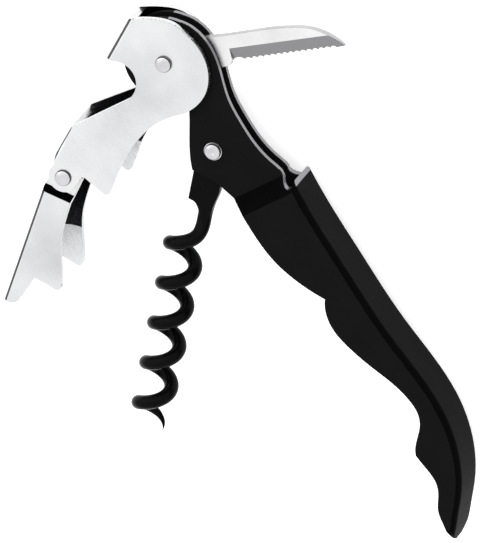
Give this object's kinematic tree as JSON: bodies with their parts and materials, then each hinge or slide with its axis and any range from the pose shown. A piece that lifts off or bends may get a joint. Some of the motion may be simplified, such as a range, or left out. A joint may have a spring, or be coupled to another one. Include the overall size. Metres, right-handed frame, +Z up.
{
  "type": "lever corkscrew",
  "caption": "Folding lever corkscrew with a curved sheet-metal handle, two-step hinged lever with cap lifter, serrated knife and helical worm.",
  "frame": {"origin": "middle of the bounding box's underside, the tool lying on its side", "axes": "+X from the head towards the handle's tail, +Y towards the handle's back where the knife folds, +Z up, across the handle's width"},
  "size_m": [0.123, 0.0908, 0.0157],
  "materials": {
    "handle_coat": "satin black coat with bare cut edges",
    "lever_steel": "satin chrome",
    "knife_steel": "fine brushed with a ground edge",
    "worm_coat": "glossy black non-stick coat",
    "rivet_steel": "polished",
    "washer_steel": "plain"
  },
  "bodies": {
    "handle": {"handle_channel": "handle_coat", "head_rivet": "rivet_steel", "worm_rivet": "rivet_steel", "lever_washer_front": "washer_steel", "lever_washer_back": "washer_steel", "knife_washer_front": "washer_steel", "knife_washer_back": "washer_steel", "worm_ring_front": "rivet_steel", "worm_ring_back": "rivet_steel"},
    "lever": {"lever_arm": "lever_steel", "foot_rivet": "rivet_steel", "foot_washer_front": "washer_steel", "foot_washer_back": "washer_steel"},
    "foot": {"lever_foot": "lever_steel", "foot_spacer": "washer_steel"},
    "knife": {"knife_blade": "knife_steel"},
    "worm_body": {"worm": "worm_coat"}
  },
  "joints": [
    {"name": "lever_pivot", "type": "hinge", "parent": "handle", "child": "lever", "pos_m": [-0.05033, 0.01084, 0.00785], "axis": [0, 0, 1], "range_deg": [-50, 58]},
    {"name": "worm_pivot", "type": "hinge", "parent": "handle", "child": "worm_body", "pos_m": [-0.03003, 0.00944, 0.00785], "axis": [0, 0, 1], "range_deg": [-45, 53]},
    {"name": "foot_pivot", "type": "hinge", "parent": "lever", "child": "foot", "pos_m": [-0.0392, -0.01975, 0.00785], "axis": [0, 0, 1], "range_deg": [-40, 1]},
    {"name": "knife_pivot", "type": "hinge", "parent": "handle", "child": "knife", "pos_m": [-0.05033, 0.01084, 0.00785], "axis": [0, 0, -1], "range_deg": [-35, 46]}
  ],
  "couplings": [
    {"joint": "worm_pivot", "follows": "lever_pivot", "ratio": 0.9}
  ]
}
